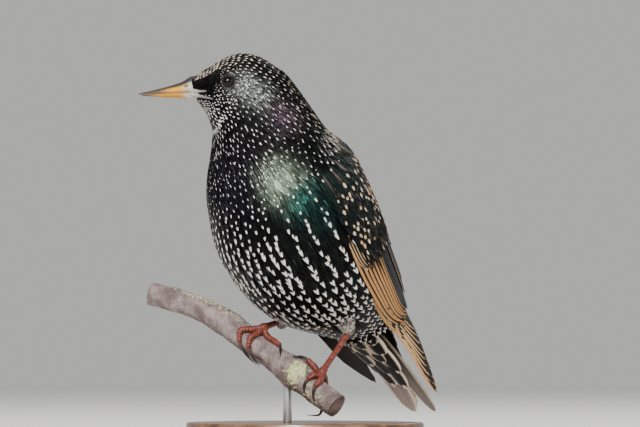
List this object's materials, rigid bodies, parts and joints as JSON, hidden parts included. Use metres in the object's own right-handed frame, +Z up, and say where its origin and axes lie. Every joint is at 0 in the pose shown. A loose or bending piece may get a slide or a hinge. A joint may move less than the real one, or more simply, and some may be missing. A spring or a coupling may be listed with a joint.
{
  "type": "starling figure",
  "caption": "Still, life-size starling in spotted winter plumage, gripping a cut length of branch held over a flat round base by a thin rod.",
  "frame": {"origin": "centre of the underside of the stand's round base", "axes": "+Z up, -X the way the bill points; the body itself heads 47 degrees from -X towards -Y, and -Y is the side the picture shows"},
  "size_m": [0.1367, 0.1215, 0.1756],
  "materials": {
    "plumage": "glossy black feathers with green and purple sheen and pale tips",
    "flight": "dusky flight feathers with buff edges",
    "coverts": "dark feathers with broad cream edges",
    "bill": "satin horn, yellow in the middle, dark towards the tip",
    "eye": "wet, very dark brown",
    "leg": "scaled skin, orange red",
    "claw": "dark horn",
    "bark": "grey-brown bark with patches of lichen",
    "steel": "brushed",
    "wood": "satin varnish"
  },
  "bodies": {
    "root": {"head": "plumage", "bill_upper": "bill", "bill_lower": "bill", "eye_left": "eye", "eye_right": "eye", "neck": "plumage", "torso": "plumage", "wing_left": "flight", "wing_right": "flight", "tail": "flight", "tail_coverts_under": "coverts", "tail_coverts_upper": "coverts", "thigh_left": "plumage", "thigh_right": "plumage", "tarsus_left": "leg", "tarsus_right": "leg", "foot_left": "leg", "foot_right": "leg", "claw_left_1": "claw", "claw_left_2": "claw", "claw_left_3": "claw", "claw_left_4": "claw", "claw_right_1": "claw", "claw_right_2": "claw", "claw_right_3": "claw", "claw_right_4": "claw", "perch_branch": "bark", "stand_rod": "steel", "stand_base": "wood"}
  },
  "joints": []
}
